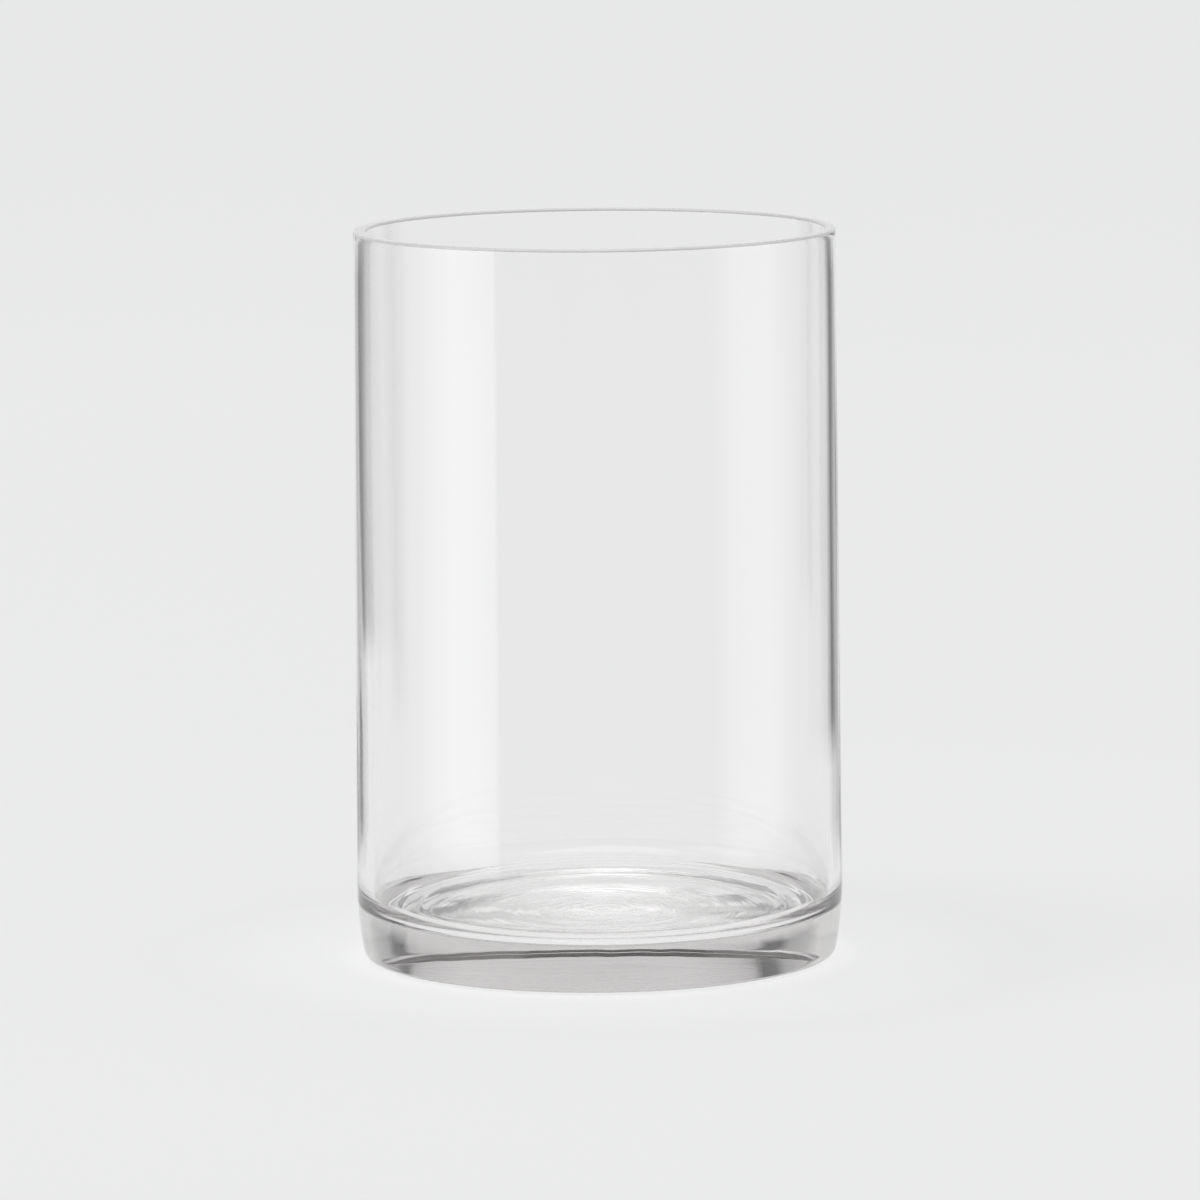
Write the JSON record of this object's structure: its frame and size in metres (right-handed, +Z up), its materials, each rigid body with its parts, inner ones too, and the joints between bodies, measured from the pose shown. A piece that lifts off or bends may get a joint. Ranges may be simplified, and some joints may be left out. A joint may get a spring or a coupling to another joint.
{
  "type": "glass cylinder vase",
  "caption": "Straight-sided clear glass cylinder vase with a flat ground rim, an even wall and a thick base that stands on a narrow ring.",
  "frame": {"origin": "centre of the standing ring, on the surface that the vase stands on", "axes": "+Z up along the vase's axis, towards the open rim; the vase is round, so X and Y are free"},
  "size_m": [0.1524, 0.1524, 0.2286],
  "materials": {
    "clear_glass": "clear soda-lime glass, glossy, with a faint grey-green tint where it is thick"
  },
  "bodies": {
    "root": {"rim": "clear_glass", "side_wall": "clear_glass", "heel": "clear_glass", "base": "clear_glass"}
  },
  "joints": []
}
